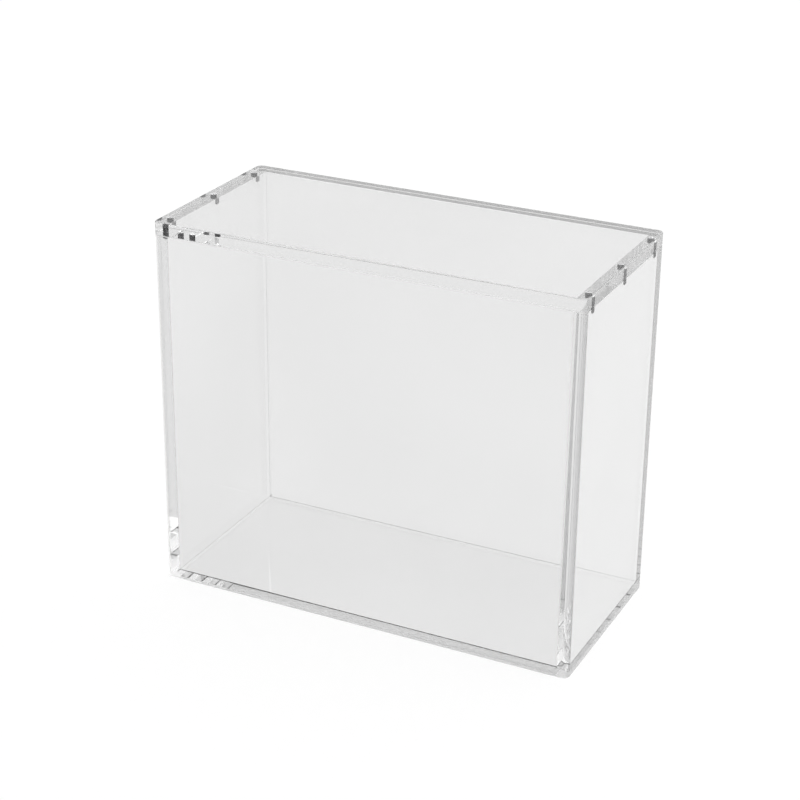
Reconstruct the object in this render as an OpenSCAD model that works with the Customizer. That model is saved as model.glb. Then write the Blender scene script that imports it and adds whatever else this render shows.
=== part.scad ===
// Clear acrylic storage box with a flat lid that lifts off and is held by round magnets.
// Five sheets are bonded edge to face: the end panels run the full depth, the front and
// back panels stand between them, and the base lies inside all four.
// Millimetres, +Z up, +X to the right, front at -Y. The origin is under the middle of the base.

/* [Box] */
// Outside width, between the outer faces of the two end panels
box_w = 204; // [150:1:320]
// Outside depth, between the outer faces of the front and back panels
box_d = 94; // [70:1:240]
// Outside height with the lid on
box_h = 177; // [60:1:320]
// Radius of the upright corners of the box and of the lid
corner_r = 3; // [1:0.5:5]
// Width of the polished bevel along the outer edges
edge_bevel = 0.3; // [0.1:0.1:0.5]

/* [Sheets] */
// Thickness of the two end panels, which hold the lower magnets
end_t = 6; // [5:1:10]
// Thickness of the front and back panels
wall_t = 4; // [3:1:8]
// Thickness of the base panel
base_t = 4; // [3:1:8]
// Thickness of the lid, which holds the upper magnets
lid_t = 6; // [6:1:10]

/* [Magnets] */
// Diameter of the magnets
magnet_d = 3; // [2:0.5:3.5]
// Length of the magnets in the lid
lid_magnet_l = 4; // [2:0.5:4]
// Length of the magnets in the end panels
end_magnet_l = 3; // [2:0.5:8]
// Distance from the front and back faces to the nearest magnet's centre
magnet_margin = 10; // [8:1:20]
// Bevel round the ends of a magnet
magnet_bevel = 0.2; // [0.1:0.05:0.3]
// How far a magnet's outer end lies below the face that it is let into
magnet_sink = 0.1; // [0.05:0.05:0.3]
// Room left all round a magnet for the glue
glue_gap = 0.05; // [0.05:0.05:0.2]
// Point angle of the drill that cuts the magnet pockets
drill_angle = 118; // [110:1:140]

/* [Hidden] */
// Height of the box without its lid, where the two meet
rim_z = box_h - lid_t;
inner_w = box_w - 2 * end_t;
inner_d = box_d - 2 * wall_t;
// Places of the magnets: on the middle line of each end panel, three in a row
magnet_x = (box_w - end_t) / 2;
magnet_y = box_d / 2 - magnet_margin;
magnet_r = magnet_d / 2;
pocket_r = magnet_r + glue_gap;
// A cutting solid passes the face that it cuts by this much
overcut = 1;
// Straight sides that stand for a full circle
round_fn = 64;
clear_sheet = [0.86, 0.92, 0.94, 0.35];
magnet_plating = [0.55, 0.55, 0.57];

SIDES = ["left", "right"];
PLACES = ["front", "middle", "back"];

// -1 for the left side, 1 for the right
function side_sign(side) = side == "left" ? -1 : 1;
// -1 for the front, 0 for the middle, 1 for the back
function place_sign(place) = place == "middle" ? 0 : place == "front" ? -1 : 1;

// A round bar that stands on z = 0, with both ends bevelled
module bevelled_post(r, h, bevel) {
    rotate_extrude($fn = round_fn)
        polygon([[0, 0], [r - bevel, 0], [r, bevel], [r, h - bevel], [r - bevel, h], [0, h]]);
}

// A straight bar of length l along Z, whose section is w by h with its corners bevelled
module bevelled_bar(w, h, l) {
    edge = w / 2;
    in = edge - edge_bevel;
    top = h - edge_bevel;
    linear_extrude(l, center = true)
        polygon([
            [-in, 0], [in, 0], [edge, edge_bevel], [edge, top],
            [in, h], [-in, h], [-edge, top], [-edge, edge_bevel]
        ]);
}

// A block on z = 0 with rounded uprights and its top and bottom edges bevelled:
// a post at each corner, and two bars that cross between them
module eased_block(w, d, h) {
    straight_w = w - 2 * corner_r;
    straight_d = d - 2 * corner_r;
    for (x = [-1, 1], y = [-1, 1])
        translate([x * straight_w / 2, y * straight_d / 2, 0])
            bevelled_post(corner_r, h, edge_bevel);
    rotate([90, 0, 90])
        bevelled_bar(d, h, straight_w);
    rotate([90, 0, 0])
        bevelled_bar(w, h, straight_d);
}

// One sheet of the bonded box: what the finished outside leaves of a w by d upright prism
module wall_sheet(centre, w, d) {
    intersection() {
        eased_block(box_w, box_d, rim_z);
        translate([centre.x, centre.y, rim_z / 2])
            cube([w, d, rim_z + 2 * overcut], center = true);
    }
}

// Stands its children on the spot of one magnet pair, at the face where box and lid meet
module at_magnet(side, place) {
    translate([side_sign(side) * magnet_x, place_sign(place) * magnet_y, rim_z])
        children();
}

// The hole that takes a magnet, cut up from z = 0 by a pointed drill.
// The magnet's bevelled end stops on the cone that the drill point leaves.
module magnet_pocket(magnet_l) {
    slope = tan(drill_angle / 2);
    seat = (pocket_r - magnet_r + magnet_bevel) / slope;
    straight = magnet_sink + magnet_l - seat;
    rotate_extrude($fn = round_fn)
        polygon([
            [0, -overcut], [pocket_r, -overcut], [pocket_r, straight], [0, straight + pocket_r / slope]
        ]);
}

// A magnet in its pocket, sunk a little below z = 0
module magnet(magnet_l) {
    translate([0, 0, magnet_sink])
        bevelled_post(magnet_r, magnet_l, magnet_bevel);
}

module base_panel() {
    color(clear_sheet)
        translate([0, 0, base_t / 2])
            cube([inner_w, inner_d, base_t], center = true);
}

module front_panel() {
    color(clear_sheet)
        wall_sheet([0, -(inner_d + box_d) / 2], inner_w, box_d);
}

module back_panel() {
    color(clear_sheet)
        wall_sheet([0, (inner_d + box_d) / 2], inner_w, box_d);
}

module end_panel(side) {
    color(clear_sheet)
        difference() {
            wall_sheet([side_sign(side) * (inner_w + box_w) / 2, 0], box_w, box_d + 2 * overcut);
            for (place = PLACES)
                at_magnet(side, place)
                    mirror([0, 0, 1])
                        magnet_pocket(end_magnet_l);
        }
}

module lid_plate() {
    color(clear_sheet)
        difference() {
            translate([0, 0, rim_z])
                eased_block(box_w, box_d, lid_t);
            for (side = SIDES, place = PLACES)
                at_magnet(side, place)
                    magnet_pocket(lid_magnet_l);
        }
}

module lid_magnet(side, place) {
    color(magnet_plating)
        at_magnet(side, place)
            magnet(lid_magnet_l);
}

module end_magnet(side, place) {
    color(magnet_plating)
        at_magnet(side, place)
            mirror([0, 0, 1])
                magnet(end_magnet_l);
}

base_panel();
front_panel();
back_panel();
lid_plate();
for (side = SIDES) {
    end_panel(side);
    for (place = PLACES) {
        lid_magnet(side, place);
        end_magnet(side, place);
    }
}
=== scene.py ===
"""Looks of the clear acrylic storage box with a lid held by magnets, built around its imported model."""
import logging
import math
from dataclasses import dataclass, field
from enum import Enum
from typing import Any

import bmesh
import bpy
from mathutils import Matrix, Vector

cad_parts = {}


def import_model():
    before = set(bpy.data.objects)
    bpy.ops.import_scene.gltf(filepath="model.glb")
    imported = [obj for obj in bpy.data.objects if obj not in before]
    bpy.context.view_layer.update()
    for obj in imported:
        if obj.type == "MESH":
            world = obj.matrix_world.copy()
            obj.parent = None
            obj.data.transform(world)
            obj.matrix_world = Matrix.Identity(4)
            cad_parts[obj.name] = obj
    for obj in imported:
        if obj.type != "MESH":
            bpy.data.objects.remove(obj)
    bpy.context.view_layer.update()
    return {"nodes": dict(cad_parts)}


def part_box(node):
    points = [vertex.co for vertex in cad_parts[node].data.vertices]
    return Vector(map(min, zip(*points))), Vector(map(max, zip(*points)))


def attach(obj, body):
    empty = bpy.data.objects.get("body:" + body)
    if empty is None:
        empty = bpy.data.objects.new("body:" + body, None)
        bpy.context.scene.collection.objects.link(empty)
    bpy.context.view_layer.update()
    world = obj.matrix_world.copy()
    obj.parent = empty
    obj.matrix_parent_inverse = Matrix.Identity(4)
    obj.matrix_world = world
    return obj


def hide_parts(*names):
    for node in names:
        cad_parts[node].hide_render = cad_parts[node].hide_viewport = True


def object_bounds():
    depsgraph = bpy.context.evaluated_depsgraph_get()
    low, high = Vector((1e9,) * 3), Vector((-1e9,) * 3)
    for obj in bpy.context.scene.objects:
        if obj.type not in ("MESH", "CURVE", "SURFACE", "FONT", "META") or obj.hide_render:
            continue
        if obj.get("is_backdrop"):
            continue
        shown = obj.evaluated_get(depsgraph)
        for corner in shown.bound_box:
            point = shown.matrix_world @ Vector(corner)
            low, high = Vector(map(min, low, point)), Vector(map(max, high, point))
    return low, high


MM = 0.001
IMAGE_WIDTH = 800
SENSOR_WIDTH = 36.0
HAIR = MM / 10
TRACE = MM / 100
PROBE = MM / 8
LEVEL = 0.95
SLANT = 0.3
FACING = 0.02
log = logging.getLogger("acrylic_box")


class Side(Enum):
    """The two ends of the box, with the sign of their X."""

    LEFT = -1
    RIGHT = 1


class Row(Enum):
    """The places of the magnets along an end panel, with the sign of their Y."""

    FRONT = -1
    MIDDLE = 0
    BACK = 1


class Face(Enum):
    """How a face of a sheet is finished, and so its place in the sheet's material slots."""

    AIR = 0
    BOND = 1
    CUT = 2


class Value:
    """An output socket. Where it carries a number, Python's operators add Math nodes to it."""

    def __init__(self, graph: "Graph", socket: bpy.types.NodeSocket) -> None:
        """Keeps the graph and the output socket."""
        self.graph = graph
        self.socket = socket

    def _math(self, operation: str, first: Any, second: Any) -> "Value":
        """Adds a Math node.

        Args:
            operation: Blender's name of the operation.
            first: the first operand, a Value or a number.
            second: the second operand, a Value or a number.

        Returns:
            The node's result.
        """
        return self.graph.node("ShaderNodeMath", {"operation": operation}, {0: first, 1: second})

    def __add__(self, other: Any) -> "Value":
        """self + other."""
        return self._math("ADD", self, other)

    def __radd__(self, other: Any) -> "Value":
        """other + self."""
        return self._math("ADD", other, self)

    def __sub__(self, other: Any) -> "Value":
        """self - other."""
        return self._math("SUBTRACT", self, other)

    def __rsub__(self, other: Any) -> "Value":
        """other - self."""
        return self._math("SUBTRACT", other, self)

    def __mul__(self, other: Any) -> "Value":
        """self * other."""
        return self._math("MULTIPLY", self, other)

    def __rmul__(self, other: Any) -> "Value":
        """other * self."""
        return self._math("MULTIPLY", other, self)

    def __abs__(self) -> "Value":
        """self without its sign."""
        return self.graph.node("ShaderNodeMath", {"operation": "ABSOLUTE"}, {0: self})

    def at_most(self, limit: Any) -> "Value":
        """The smaller of self and the limit."""
        return self._math("MINIMUM", self, limit)

    def over(self, low: float, high: float) -> "Value":
        """Runs smoothly from 0 at low to 1 at high."""
        settings = {"interpolation_type": "SMOOTHSTEP"}
        inputs = {"Value": self, "From Min": low, "From Max": high}
        return self.graph.node("ShaderNodeMapRange", settings, inputs)


class Graph:
    """The node tree of a material or of the world, emptied and then filled node by node."""

    def __init__(self, owner: Any) -> None:
        """Empties the owner's node tree."""
        owner.use_nodes = True
        self.tree = owner.node_tree
        self.tree.nodes.clear()

    def node(self, kind: str, settings: dict[str, Any], inputs: dict[Any, Any], output: Any = 0) -> Value:
        """Adds one node.

        Args:
            kind: the node's type.
            settings: its own properties, set before the sockets.
            inputs: values or links by socket name or number.
            output: name or number of the output that is wanted.

        Returns:
            The wanted output.
        """
        made = self.tree.nodes.new(kind)
        for key, setting in settings.items():
            setattr(made, key, setting)
        for key, given in inputs.items():
            if isinstance(given, Value):
                self.tree.links.new(given.socket, made.inputs[key])
            else:
                made.inputs[key].default_value = given
        return Value(self, made.outputs[output])

    def noise(self, scale: float, detail: float = 2.0) -> Value:
        """Noise over the object's own coordinates, in features per metre."""
        place = self.node("ShaderNodeTexCoord", {}, {}, "Object")
        return self.node("ShaderNodeTexNoise", {}, {"Vector": place, "Scale": scale, "Detail": detail})

    def tint(self, factor: Value, low: tuple[float, ...], high: tuple[float, ...]) -> Value:
        """Mixes two colours by a factor."""
        inputs = {"Factor": factor, 6: (*low, 1.0), 7: (*high, 1.0)}
        return self.node("ShaderNodeMix", {"data_type": "RGBA"}, inputs, 2)

    def bump(self, height: Value, strength: float, distance: float) -> Value:
        """A normal raised by a height."""
        return self.node("ShaderNodeBump", {}, {"Height": height, "Strength": strength, "Distance": distance})

    def axis(self, vector: Value, name: str) -> Value:
        """One part of a vector: X, Y or Z."""
        return self.node("ShaderNodeSeparateXYZ", {}, {0: vector}, name)

    def ray(self, question: str) -> Value:
        """What is known of the light ray that meets the surface."""
        return self.node("ShaderNodeLightPath", {}, {}, question)

    def clear(self, colour: tuple[float, ...]) -> Value:
        """A shader that lets light through unbent."""
        return self.node("ShaderNodeBsdfTransparent", {}, {"Color": (*colour, 1.0)})

    def shine(self, colour: tuple[float, ...]) -> Value:
        """A shader that gives off an even light."""
        return self.node("ShaderNodeEmission", {}, {"Color": (*colour, 1.0), "Strength": 1.0})

    def blend(self, factor: Value, first: Value, second: Value) -> Value:
        """Mixes two shaders: the first alone at 0, the second alone at 1."""
        return self.node("ShaderNodeMixShader", {}, {0: factor, 1: first, 2: second})

    def surface(self, shader: Value) -> None:
        """Ends the tree of a material with its surface."""
        self.node_out("ShaderNodeOutputMaterial", shader)

    def node_out(self, kind: str, shader: Value) -> None:
        """Adds an output node and links the shader to its surface."""
        made = self.tree.nodes.new(kind)
        self.tree.links.new(shader.socket, made.inputs["Surface"])


@dataclass(frozen=True)
class ClearAcrylic:
    """Polished cast acrylic: clear, faintly grey, with a trace of haze from handling.

    After a few bounces inside the acrylic, part of its shading becomes a painted grey glow, an even emission
    standing in for what thick acrylic absorbs and scatters.
    """

    low: tuple[float, float, float] = (0.885, 0.885, 0.885)
    high: tuple[float, float, float] = (0.905, 0.905, 0.905)
    index: float = 1.49
    haze: float = 0.012
    shadow: tuple[float, float, float] = (0.95, 0.95, 0.95)
    clear_bounces: float = 3.2
    painted_glow_share: float = 0.15
    painted_glow_grey: tuple[float, float, float] = (0.50, 0.50, 0.50)
    cloud_scale: float = 9.0
    wear_scale: float = 160.0
    ripple_scale: float = 14.0

    def material(self) -> bpy.types.Material:
        """Builds the material: a glass-like body whose shadow stays light."""
        made = bpy.data.materials.new("clear_acrylic")
        graph = Graph(made)
        cloud = graph.noise(self.cloud_scale).over(0.3, 0.7)
        wear = graph.noise(self.wear_scale, 4.0).over(0.55, 0.8)
        ripple = graph.noise(self.ripple_scale, 1.0)
        body = graph.node("ShaderNodeBsdfPrincipled", {}, {
            "Base Color": graph.tint(cloud, self.low, self.high),
            "Roughness": wear * self.haze,
            "IOR": self.index,
            "Transmission Weight": 1.0,
            "Normal": graph.bump(ripple, 0.04, 0.0005),
        })
        # painted light: past a few bounces the acrylic partly glows an even grey, a painted glow in place of
        # traced light
        late = graph.ray("Ray Depth").over(self.clear_bounces, self.clear_bounces + 0.8)
        body = graph.blend(late * self.painted_glow_share, body, graph.shine(self.painted_glow_grey))
        graph.surface(graph.blend(graph.ray("Is Shadow Ray"), body, graph.clear(self.shadow)))
        return made


@dataclass(frozen=True)
class SatinCut:
    """Acrylic as a saw, a scraper or a drill point leaves it: clear, but satin."""

    low: tuple[float, float, float] = (0.93, 0.93, 0.93)
    high: tuple[float, float, float] = (0.97, 0.97, 0.97)
    index: float = 1.49
    satin: float = 0.30
    marks_scale: float = 1200.0

    def material(self) -> bpy.types.Material:
        """Builds the material of the bevels, the undersides of the walls and the drilled cones."""
        made = bpy.data.materials.new("satin_cut")
        graph = Graph(made)
        marks = graph.noise(self.marks_scale, 3.0)
        body = graph.node("ShaderNodeBsdfPrincipled", {}, {
            "Base Color": graph.tint(marks, self.low, self.high),
            "Roughness": self.satin + marks * 0.2,
            "IOR": self.index,
            "Transmission Weight": 1.0,
        })
        graph.surface(graph.blend(graph.ray("Is Shadow Ray"), body, graph.clear(self.high)))
        return made


@dataclass(frozen=True)
class SolventBond:
    """A joint where acrylic runs on into acrylic: clear, but dark along its inner lip."""

    base_top: float
    wall_inside: float
    lip: float = 0.45 * MM
    wall_share: float = 0.35
    least_dash: float = 0.55
    dash_scale: float = 420.0
    clear: tuple[float, float, float] = (0.985, 0.985, 0.985)
    dark: tuple[float, float, float] = (0.12, 0.12, 0.12)

    def material(self) -> bpy.types.Material:
        """Builds the material: it lets light through unbent, and shades the lip in short dashes."""
        made = bpy.data.materials.new("solvent_bond")
        graph = Graph(made)
        place = graph.node("ShaderNodeTexCoord", {}, {}, "Object")
        height = graph.axis(place, "Z")
        depth = abs(graph.axis(place, "Y"))
        top, inside, lip, edge = self.base_top, self.wall_inside, self.lip, self.lip * 0.8
        above = height.over(top, top + lip / 8)
        base_lip = height.over(top - lip, top - edge) * (1.0 - above)
        near = 1.0 - depth.over(inside + edge, inside + lip)
        wall_lip = near * above * depth.over(inside - lip, inside - edge)
        dashes = graph.noise(self.dash_scale, 3.0).over(0.40, 0.60) * (1.0 - self.least_dash)
        dashes = self.least_dash + dashes
        shade = (base_lip + wall_lip * self.wall_share).at_most(1.0) * dashes
        graph.surface(graph.blend(shade, graph.clear(self.clear), graph.clear(self.dark)))
        return made


@dataclass(frozen=True)
class NickelPlate:
    """Nickel plating on the magnets: bright flat ends and darker sides."""

    low: tuple[float, float, float] = (0.06, 0.06, 0.063)
    high: tuple[float, float, float] = (0.62, 0.62, 0.63)
    stain_scale: float = 700.0
    scuff_scale: float = 2600.0
    stain_share: float = 0.2

    def material(self) -> bpy.types.Material:
        """Builds the material of the magnets."""
        made = bpy.data.materials.new("magnet_plating")
        graph = Graph(made)
        stain = graph.noise(self.stain_scale, 4.0).over(0.35, 0.65) * self.stain_share
        scuff = graph.noise(self.scuff_scale, 5.0)
        normal = graph.node("ShaderNodeNewGeometry", {}, {}, "Normal")
        end = abs(graph.axis(normal, "Z")).over(0.90, 0.98) * (1.0 - self.stain_share)
        graph.surface(graph.node("ShaderNodeBsdfPrincipled", {}, {
            "Base Color": graph.tint(stain + end, self.low, self.high),
            "Metallic": 1.0,
            "Roughness": 0.12 + scuff * 0.12,
            "Normal": graph.bump(scuff, 0.15, 0.0001),
        }))
        return made


@dataclass(frozen=True)
class StudioFloor:
    """The pale floor: it reads as white paper and takes a faint, soft shadow of the box."""

    paper: tuple[float, float, float] = (0.96, 0.96, 0.96)
    white: tuple[float, float, float] = (1.0, 1.0, 1.0)
    glow: float = 0.85

    def material(self) -> bpy.types.Material:
        """Builds the material, which shows the same white straight on, in metal and through glass."""
        made = bpy.data.materials.new("studio_floor")
        graph = Graph(made)
        seen = graph.ray("Is Camera Ray") + graph.ray("Is Glossy Ray") + graph.ray("Is Transmission Ray")
        matt = graph.node("ShaderNodeBsdfDiffuse", {}, {"Color": (*self.paper, 1.0)})
        graph.surface(graph.blend(seen.at_most(1.0) * self.glow, matt, graph.shine(self.white)))
        return made


@dataclass
class Sheet:
    """One acrylic sheet, built finer than its CAD node and standing in its place."""

    node: str
    body: str
    rounded: tuple[tuple[int, int], ...] = ()
    eased: tuple[tuple[int, int], ...] = ()
    neighbours: tuple[str, ...] = ()
    magnets: tuple[str, ...] = ()
    corner_radius: float = 3.0 * MM
    edge_bevel: float = 0.3 * MM
    air_gap: float = 0.0
    corner_steps: int = 20
    wall_height: float = 10.0 * MM
    low: Vector = field(init=False, repr=False)
    high: Vector = field(init=False, repr=False)

    def build(self, slots: list[bpy.types.Material]) -> bpy.types.Object:
        """Builds, bores and dresses the sheet.

        Args:
            slots: the materials in the order of Face.

        Returns:
            The sheet's object.
        """
        low, high = (Vector(corner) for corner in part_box(self.node))
        low.z += self.air_gap
        self.low, self.high = low, high
        bm = bmesh.new()
        spread = Matrix.Diagonal((*(high - low), 1.0))
        bmesh.ops.create_cube(bm, size=1.0, matrix=Matrix.Translation((low + high) / 2) @ spread)
        self._round_uprights(bm)
        self._ease_edges(bm)
        self._split_at_neighbours(bm)
        bmesh.ops.recalc_face_normals(bm, faces=bm.faces)
        mesh = bpy.data.meshes.new(self.node + "_sheet")
        bm.to_mesh(mesh)
        bm.free()
        piece = bpy.data.objects.new(self.node + "_sheet", mesh)
        bpy.context.scene.collection.objects.link(piece)
        if self.magnets:
            self._bore_pockets(piece)
        piece.data.materials.clear()
        for material in slots:
            piece.data.materials.append(material)
        self._mark_faces(piece.data)
        self._shade_corners(piece.data)
        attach(piece, self.body)
        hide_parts(self.node)
        log.info("%s: %d faces", piece.name, len(piece.data.polygons))
        return piece

    def _round_uprights(self, bm: bmesh.types.BMesh) -> None:
        """Rounds the upright edges at the corners that are listed."""
        middle = (self.low + self.high) / 2
        picked = []
        for edge in bm.edges:
            a, b = (vert.co for vert in edge.verts)
            spot = (a + b) / 2 - middle
            corner = (int(math.copysign(1, spot.x)), int(math.copysign(1, spot.y)))
            if abs(a.z - b.z) > MM and corner in self.rounded:
                picked.append(edge)
        if picked:
            bmesh.ops.bevel(bm, geom=picked, offset=self.corner_radius, segments=self.corner_steps,
                            profile=0.5, affect="EDGES", clamp_overlap=False)

    def _ease_edges(self, bm: bmesh.types.BMesh) -> None:
        """Bevels the top and bottom edges on the sides that are polished outside."""
        picked = []
        for edge in bm.edges:
            flat = [face for face in edge.link_faces if abs(face.normal.z) > LEVEL]
            side = [face for face in edge.link_faces if abs(face.normal.z) < SLANT]
            if not flat or not side:
                continue
            normal = side[0].normal
            if any(normal.x * x + normal.y * y > FACING for x, y in self.eased):
                picked.append(edge)
        if picked:
            bmesh.ops.bevel(bm, geom=picked, offset=self.edge_bevel, segments=1, profile=0.5,
                            affect="EDGES", clamp_overlap=False)

    def _split_at_neighbours(self, bm: bmesh.types.BMesh) -> None:
        """Cuts the faces along the outlines of the sheets that are bonded on."""
        for name in self.neighbours:
            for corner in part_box(name):
                for axis in range(3):
                    if self.low[axis] + HAIR < corner[axis] < self.high[axis] - HAIR:
                        normal = Vector((axis == 0, axis == 1, axis == 2))
                        geometry = bm.verts[:] + bm.edges[:] + bm.faces[:]
                        bmesh.ops.bisect_plane(bm, geom=geometry, plane_co=normal * corner[axis],
                                               plane_no=normal)

    def _bore_pockets(self, piece: bpy.types.Object) -> None:
        """Cuts the pockets of the magnets, each with the cone of the drill's point."""
        cutter = Pocket().cutter([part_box(name) for name in self.magnets], self.low.z, self.high.z)
        bore = piece.modifiers.new("pockets", "BOOLEAN")
        bore.object = cutter
        bore.operation = "DIFFERENCE"
        bore.solver = "EXACT"
        bpy.context.view_layer.update()
        graph = bpy.context.evaluated_depsgraph_get()
        bored = bpy.data.meshes.new_from_object(piece.evaluated_get(graph))
        piece.modifiers.clear()
        piece.data = bored
        bpy.data.objects.remove(cutter)

    def _mark_faces(self, mesh: bpy.types.Mesh) -> None:
        """Gives each face the slot of what it meets.

        Bonded faces and the pocket walls round the magnets let light through. Bevels, drilled cones
        and the undersides of the walls are satin. Every other face is polished.
        """
        solids = [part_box(name) for name in self.neighbours + self.magnets]
        is_wall = self.high.z > self.wall_height
        for face in mesh.polygons:
            probe = face.center + face.normal * PROBE
            meets = any(all(low[i] < probe[i] < high[i] for i in range(3)) for low, high in solids)
            slanted = SLANT < abs(face.normal.z) < LEVEL
            underside = is_wall and face.normal.z < -LEVEL and face.center.z < HAIR
            kind = Face.BOND if meets else Face.CUT if slanted or underside else Face.AIR
            face.material_index = kind.value

    def _shade_corners(self, mesh: bpy.types.Mesh) -> None:
        """Gives the rounded uprights the normals of true quarter rounds and leaves the rest flat."""
        normals = []
        for face in mesh.polygons:
            axis = self._corner_axis(face) if abs(face.normal.z) < 0.01 else None
            face.use_smooth = axis is not None
            for vertex in face.vertices:
                if axis is None:
                    normals.append(face.normal.copy())
                else:
                    out = mesh.vertices[vertex].co - axis
                    normals.append(Vector((out.x, out.y, 0.0)).normalized())
        mesh.normals_split_custom_set(normals)

    def _corner_axis(self, face: bpy.types.MeshPolygon) -> Vector | None:
        """The axis of the rounded corner that a face lies on, if it lies on one."""
        for x, y in self.rounded:
            axis = Vector((
                (self.high.x if x > 0 else self.low.x) - x * self.corner_radius,
                (self.high.y if y > 0 else self.low.y) - y * self.corner_radius,
                0.0,
            ))
            out = face.center - axis
            if out.x * x > TRACE and out.y * y > TRACE:
                return axis
        return None


@dataclass(frozen=True)
class Pocket:
    """The blind hole that holds a magnet."""

    glue_gap: float = 0.05 * MM
    drill_angle: float = math.radians(118.0)
    seat: float = 0.15 * MM
    steps: int = 48

    def cutter(self, magnets: list[tuple[Any, Any]], bottom: float, top: float) -> bpy.types.Object:
        """Builds one object that holds every pocket of a sheet.

        Args:
            magnets: the lowest and highest corner of each magnet.
            bottom: height of the sheet's underside.
            top: height of the sheet's top.

        Returns:
            The cutting object.
        """
        verts: list[Vector] = []
        faces: list[tuple[int, ...]] = []
        for low, high in magnets:
            low, high = Vector(low), Vector(high)
            opens_down = (low.z - bottom) < (top - high.z)
            mouth, inner, way = (bottom, high.z, 1) if opens_down else (top, low.z, -1)
            radius = (high.x - low.x) / 2 + self.glue_gap
            shoulder = inner - way * self.seat
            tip = shoulder + way * radius / math.tan(self.drill_angle / 2)
            self._revolve((low + high) / 2, radius, (mouth - way * MM, shoulder), tip, verts, faces)
        mesh = bpy.data.meshes.new("pocket_cutter")
        mesh.from_pydata(verts, [], faces)
        bm = bmesh.new()
        bm.from_mesh(mesh)
        bmesh.ops.recalc_face_normals(bm, faces=bm.faces)
        bm.to_mesh(mesh)
        bm.free()
        made = bpy.data.objects.new("pocket_cutter", mesh)
        bpy.context.scene.collection.objects.link(made)
        return made

    def _revolve(self, centre: Vector, radius: float, heights: tuple[float, float], tip: float,
                 verts: list[Vector], faces: list[tuple[int, ...]]) -> None:
        """Adds one pointed round bar to the lists of points and faces."""
        start = len(verts)
        for height in heights:
            for step in range(self.steps):
                turn = math.tau * step / self.steps
                across, along = radius * math.cos(turn), radius * math.sin(turn)
                verts.append(Vector((centre.x + across, centre.y + along, height)))
        verts.append(Vector((centre.x, centre.y, tip)))
        faces.append(tuple(start + step for step in range(self.steps)))
        for step in range(self.steps):
            here, there = start + step, start + (step + 1) % self.steps
            faces.append((here, there, there + self.steps, here + self.steps))
            faces.append((here + self.steps, there + self.steps, start + 2 * self.steps))


@dataclass(frozen=True)
class BoxBody:
    """The open box: five bonded sheets, of which the end panels are bored for magnets."""

    walls: tuple[str, ...] = ("front_panel", "back_panel", "left_end_panel", "right_end_panel")

    def build(self, slots: list[bpy.types.Material]) -> None:
        """Builds the five sheets.

        Args:
            slots: the materials in the order of Face.
        """
        Sheet("base_panel", "box", neighbours=self.walls).build(slots)
        for name, y in (("front_panel", -1), ("back_panel", 1)):
            ends = ("left_end_panel", "right_end_panel", "base_panel")
            Sheet(name, "box", eased=((0, y),), neighbours=ends).build(slots)
        for side in Side:
            name = side.name.lower()
            Sheet(
                f"{name}_end_panel", "box",
                rounded=((side.value, -1), (side.value, 1)),
                eased=((side.value, 0), (0, -1), (0, 1)),
                neighbours=("front_panel", "back_panel", "base_panel"),
                magnets=tuple(f"end_magnet_{name}_{row.name.lower()}" for row in Row),
            ).build(slots)


@dataclass(frozen=True)
class Lid:
    """The lid: one thick sheet, bored for a magnet over each magnet of the box."""

    air_gap: float = 0.03 * MM
    corners: tuple[tuple[int, int], ...] = ((-1, -1), (-1, 1), (1, -1), (1, 1))
    sides: tuple[tuple[int, int], ...] = ((-1, 0), (1, 0), (0, -1), (0, 1))

    def build(self, slots: list[bpy.types.Material]) -> bpy.types.Object:
        """Builds the lid's sheet, a hair clear of the rim.

        Args:
            slots: the materials in the order of Face.

        Returns:
            The lid's object.
        """
        magnets = tuple(f"lid_magnet_{side.name.lower()}_{row.name.lower()}" for side in Side for row in Row)
        sheet = Sheet("lid_plate", "lid", rounded=self.corners, eased=self.sides, magnets=magnets,
                      air_gap=self.air_gap)
        return sheet.build(slots)


@dataclass(frozen=True)
class Magnets:
    """The twelve round magnets, which keep their CAD solids."""

    kinds: tuple[str, ...] = ("lid_magnet", "end_magnet")

    def dress(self, nodes: dict[str, bpy.types.Object], plating: bpy.types.Material) -> None:
        """Plates every magnet.

        Args:
            nodes: the CAD objects by name.
            plating: the magnets' material.
        """
        for kind in self.kinds:
            for side in Side:
                for row in Row:
                    magnet = nodes[f"{kind}_{side.name.lower()}_{row.name.lower()}"]
                    for slot in magnet.material_slots:
                        slot.material = plating
                    log.info("%s: plated", magnet.name)


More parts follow.
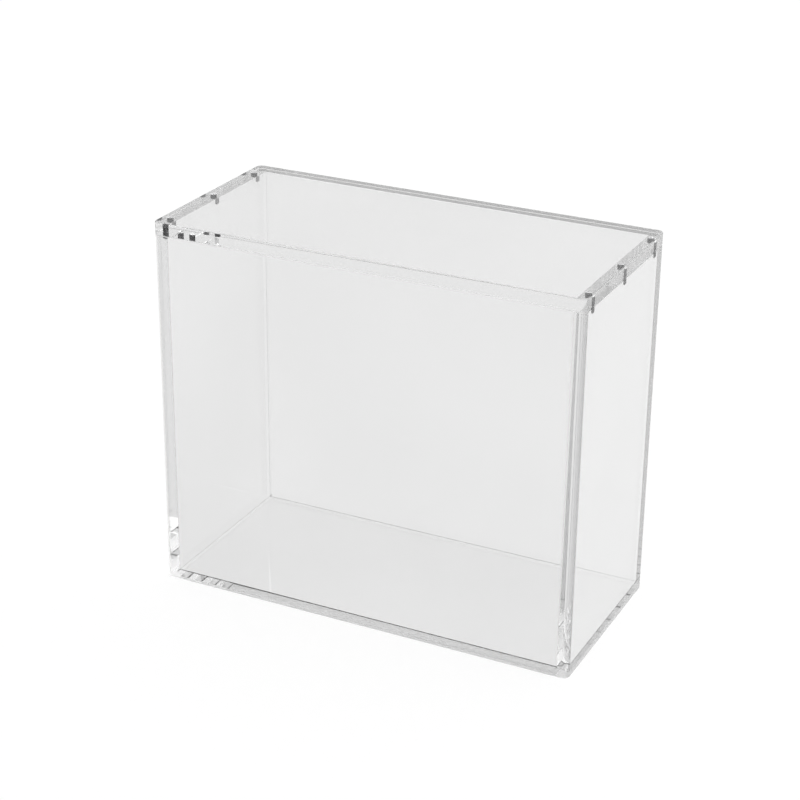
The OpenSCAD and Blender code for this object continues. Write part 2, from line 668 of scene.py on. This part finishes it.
@dataclass(frozen=True)
class Studio:
    """A white floor in surroundings that dim toward the room, under two broad lamps."""

    floor_half: float = 8.0
    floor_drop: float = 0.05 * MM
    lamp_aim: tuple[float, float, float] = (0.0, 0.0, 0.08)
    room_side: tuple[float, float] = (0.437, -0.900)
    room_edge: tuple[float, float] = (0.15, 0.80)
    room_loss: float = 0.86
    left_edge: tuple[float, float] = (0.10, 0.90)
    left_loss: float = 0.30
    ceiling_edge: tuple[float, float] = (0.45, 0.85)
    ceiling_loss: float = 0.10
    lamps: tuple[tuple[tuple[float, float, float], float, float], ...] = (
        ((1.0, 0.8, 1.7), 1.4, 16.0),
        ((-1.2, 0.6, 1.5), 1.4, 8.0),
    )
    bounces: int = 40

    def build(self) -> None:
        """Builds the floor, the world and the lamps, and lets light run on inside the sheets."""
        cycles = bpy.context.scene.cycles
        cycles.max_bounces = cycles.glossy_bounces = self.bounces
        cycles.transmission_bounces = cycles.transparent_max_bounces = self.bounces
        self._floor()
        self._world()
        for number, (place, size, power) in enumerate(self.lamps):
            self._lamp(number, Vector(place), size, power)

    def _floor(self) -> None:
        """Lays the floor just under the box."""
        half, depth = self.floor_half, -self.floor_drop
        mesh = bpy.data.meshes.new("floor")
        corners = [(-half, -half, depth), (half, -half, depth), (half, half, depth), (-half, half, depth)]
        mesh.from_pydata(corners, [], [(0, 1, 2, 3)])
        mesh.materials.append(StudioFloor().material())
        floor = bpy.data.objects.new("floor", mesh)
        bpy.context.scene.collection.objects.link(floor)
        floor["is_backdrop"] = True

    def _world(self) -> None:
        """Lights the world: white behind, dimmer overhead and at the left, dark where the room is."""
        world = bpy.data.worlds.new("studio")
        bpy.context.scene.world = world
        graph = Graph(world)
        way = graph.node("ShaderNodeTexCoord", {}, {}, "Generated")
        across, along, height = (graph.axis(way, name) for name in "XYZ")
        overhead = height.over(*self.ceiling_edge)
        room = (across * self.room_side[0] + along * self.room_side[1]).over(*self.room_edge)
        room = room * (1.0 - overhead)
        left = (0.0 - across).over(*self.left_edge)
        level = (1.0 - room * self.room_loss) * (1.0 - left * self.left_loss)
        level = level * (1.0 - overhead * self.ceiling_loss)
        shade = graph.node("ShaderNodeBackground", {}, {"Color": (1.0, 1.0, 1.0, 1.0), "Strength": level})
        graph.node_out("ShaderNodeOutputWorld", shade)

    def _lamp(self, number: int, place: Vector, size: float, power: float) -> None:
        """Hangs one broad lamp that faces the box."""
        data = bpy.data.lights.new(f"lamp_{number}", "AREA")
        data.size = size
        data.energy = power
        lamp = bpy.data.objects.new(data.name, data)
        lamp.location = place
        lamp.rotation_euler = (Vector(self.lamp_aim) - place).to_track_quat("-Z", "Y").to_euler()
        bpy.context.scene.collection.objects.link(lamp)


@dataclass(frozen=True)
class PhotoCamera:
    """The camera of the photograph, worked out from the corners of the box."""

    turn: float = math.radians(25.90)
    rise: float = math.radians(24.07)
    roll: float = math.radians(0.65)
    focal_pixels: float = 2012.0
    distance_widths: float = 4.495
    shift_right_widths: float = -0.013
    shift_up_widths: float = 0.023
    nearest: float = 0.01

    def build(self) -> None:
        """Places the camera by the box's own width and middle."""
        low, high = (Vector(corner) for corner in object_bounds())
        width = high.x - low.x
        sin, cos = math.sin, math.cos
        back = Vector((sin(self.turn) * cos(self.rise), -cos(self.turn) * cos(self.rise), sin(self.rise)))
        right = Vector((cos(self.turn), sin(self.turn), 0.0))
        up = back.cross(right)
        right, up = right * cos(self.roll) + up * sin(self.roll), up * cos(self.roll) - right * sin(self.roll)
        target = (low + high) / 2 + (right * self.shift_right_widths + up * self.shift_up_widths) * width
        place = Matrix((right, up, back)).transposed().to_4x4()
        place.translation = target + back * self.distance_widths * width
        data = bpy.data.cameras.new("photo_camera")
        data.sensor_width = SENSOR_WIDTH
        data.lens = self.focal_pixels * SENSOR_WIDTH / IMAGE_WIDTH
        data.clip_start = self.nearest
        camera = bpy.data.objects.new("photo_camera", data)
        camera.matrix_world = place
        bpy.context.scene.collection.objects.link(camera)
        bpy.context.scene.camera = camera


def main() -> None:
    """Loads the frame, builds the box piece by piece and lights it."""
    logging.basicConfig(level=logging.INFO, format="%(message)s")
    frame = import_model()
    PhotoCamera().build()
    base_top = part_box("base_panel")[1][2]
    wall_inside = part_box("back_panel")[0][1]
    bond = SolventBond(base_top, wall_inside)
    slots = [ClearAcrylic().material(), bond.material(), SatinCut().material()]
    BoxBody().build(slots)
    Lid().build(slots)
    Magnets().dress(frame["nodes"], NickelPlate().material())
    Studio().build()
    bpy.context.scene.view_settings.view_transform = "Standard"


if __name__ == "__main__":
    main()
